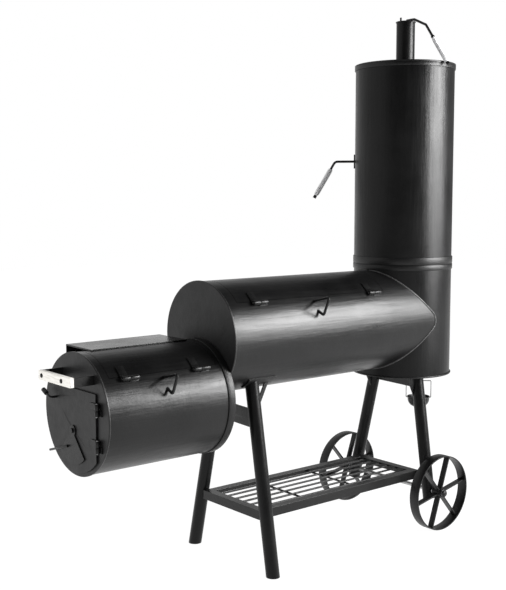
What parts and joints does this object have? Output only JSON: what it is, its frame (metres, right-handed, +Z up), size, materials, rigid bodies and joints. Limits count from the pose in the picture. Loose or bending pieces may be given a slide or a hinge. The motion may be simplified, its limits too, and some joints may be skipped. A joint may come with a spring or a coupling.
{
  "type": "offset smoker",
  "caption": "Offset pipe smoker with a side firebox, horizontal cooking chamber, upright smoke tower and chimney, splayed legs, wire shelf and two spoked steel wheels.",
  "frame": {"origin": "on the floor at the centre of the footprint", "axes": "+X runs from the firebox to the tower, +Y is the side with the lid handles, -Y is the hinge side, +Z is up"},
  "size_m": [1.87, 0.596, 2.0895],
  "materials": {
    "black_paint": "satin high-temperature black paint over rolled steel pipe and plate",
    "bare_steel": "bare drawn steel wire and turned pins, lightly oiled",
    "grate_steel": "seasoned dark steel bars",
    "handle_bar": "pale sanded hardwood, unvarnished"
  },
  "bodies": {
    "cooker": {"chamber_shell": "black_paint", "chamber_end_plate": "black_paint", "firebox_shell": "black_paint", "firebox_back_plate": "black_paint", "firebox_end_plate": "black_paint", "tower_base_shell": "black_paint", "tower_floor_plate": "black_paint", "tower_shell": "black_paint", "tower_cap": "black_paint", "chimney_pipe": "black_paint", "pipe_bands": "black_paint", "lid_ledges": "black_paint", "lid_stops": "black_paint", "hinge_barrels": "black_paint", "hinge_pins": "bare_steel", "grate_supports": "black_paint", "cooking_grates": "grate_steel", "charcoal_grate": "grate_steel", "tower_racks": "grate_steel", "legs_left": "black_paint", "legs_right": "black_paint", "leg_plates": "black_paint", "leg_stays": "black_paint", "shelf_frame": "black_paint", "shelf_rods": "black_paint", "axle": "bare_steel", "axle_washers": "bare_steel", "transport_handle_strap": "black_paint", "transport_handle_bar": "handle_bar", "transport_handle_bolts": "bare_steel", "bucket_hook": "bare_steel"},
    "chamber_lid_body": {"chamber_lid": "black_paint", "chamber_lid_straps": "black_paint", "chamber_lid_handle": "black_paint", "chamber_lid_grip": "bare_steel"},
    "firebox_lid_body": {"firebox_lid": "black_paint", "firebox_lid_straps": "black_paint", "firebox_lid_handle": "black_paint", "firebox_lid_grip": "bare_steel", "warming_plate": "black_paint"},
    "firebox_door_body": {"firebox_door": "black_paint", "door_hinge_leaves": "black_paint", "air_damper_pin": "bare_steel"},
    "air_damper_body": {"air_damper": "black_paint"},
    "firebox_latch_body": {"firebox_door_latch": "black_paint"},
    "tower_door_body": {"tower_door": "black_paint", "tower_door_straps": "black_paint", "tower_latch_plate": "black_paint"},
    "tower_latch_body": {"tower_latch": "black_paint", "tower_latch_grip": "bare_steel"},
    "flap_body": {"chimney_flap": "black_paint", "chimney_flap_lever": "black_paint", "chimney_flap_grip": "bare_steel"},
    "wheel_front_body": {"wheel_rim_front": "black_paint", "wheel_spokes_front": "black_paint"},
    "wheel_rear_body": {"wheel_rim_rear": "black_paint", "wheel_spokes_rear": "black_paint"},
    "bail_body": {"bucket_bail": "bare_steel"},
    "bucket_body": {"grease_bucket": "black_paint"}
  },
  "joints": [
    {"name": "chamber_lid_hinge", "type": "hinge", "parent": "cooker", "child": "chamber_lid_body", "pos_m": [0.08, -0.16591, 0.97997], "axis": [1, 0, 0], "range_deg": [0, 135]},
    {"name": "firebox_lid_hinge", "type": "hinge", "parent": "cooker", "child": "firebox_lid_body", "pos_m": [-0.594, -0.16591, 0.77297], "axis": [1, 0, 0], "range_deg": [0, 135]},
    {"name": "firebox_door_hinge", "type": "hinge", "parent": "cooker", "child": "firebox_door_body", "pos_m": [-0.853, -0.15, 0.62], "axis": [0, 0, 1], "range_deg": [0, 115]},
    {"name": "air_damper_pivot", "type": "hinge", "parent": "firebox_door_body", "child": "air_damper_body", "pos_m": [-0.8515, 0.008, 0.587], "axis": [1, 0, 0], "range_deg": [0, 70]},
    {"name": "firebox_latch_pivot", "type": "hinge", "parent": "firebox_door_body", "child": "firebox_latch_body", "pos_m": [-0.8465, 0.118, 0.683], "axis": [1, 0, 0], "range_deg": [0, 90]},
    {"name": "tower_door_hinge", "type": "hinge", "parent": "cooker", "child": "tower_door_body", "pos_m": [0.88821, 0.13768, 1.5], "axis": [0, 0, -1], "range_deg": [0, 120]},
    {"name": "tower_latch_pivot", "type": "hinge", "parent": "tower_door_body", "child": "tower_latch_body", "pos_m": [0.59579, 0.15094, 1.498], "axis": [-0.6561, 0.7547, 0], "range_deg": [0, 90]},
    {"name": "chimney_flap_pivot", "type": "hinge", "parent": "cooker", "child": "flap_body", "pos_m": [0.727, 0.027, 2.0665], "axis": [0, 0, 1], "range_deg": [0, 120]},
    {"name": "wheel_front_axle", "type": "hinge", "parent": "cooker", "child": "wheel_front_body", "pos_m": [0.673, 0.265, 0.152], "axis": [0, 1, 0], "continuous": true},
    {"name": "wheel_rear_axle", "type": "hinge", "parent": "cooker", "child": "wheel_rear_body", "pos_m": [0.673, -0.265, 0.152], "axis": [0, 1, 0], "continuous": true},
    {"name": "bail_swing", "type": "hinge", "parent": "cooker", "child": "bail_body", "pos_m": [0.764, -0.069, 0.574], "axis": [0.7071, -0.7071, 0], "range_deg": [-12, 12]},
    {"name": "bucket_tilt", "type": "hinge", "parent": "bail_body", "child": "bucket_body", "pos_m": [0.764, -0.069, 0.503], "axis": [0.7071, -0.7071, 0], "range_deg": [-15, 15]}
  ]
}
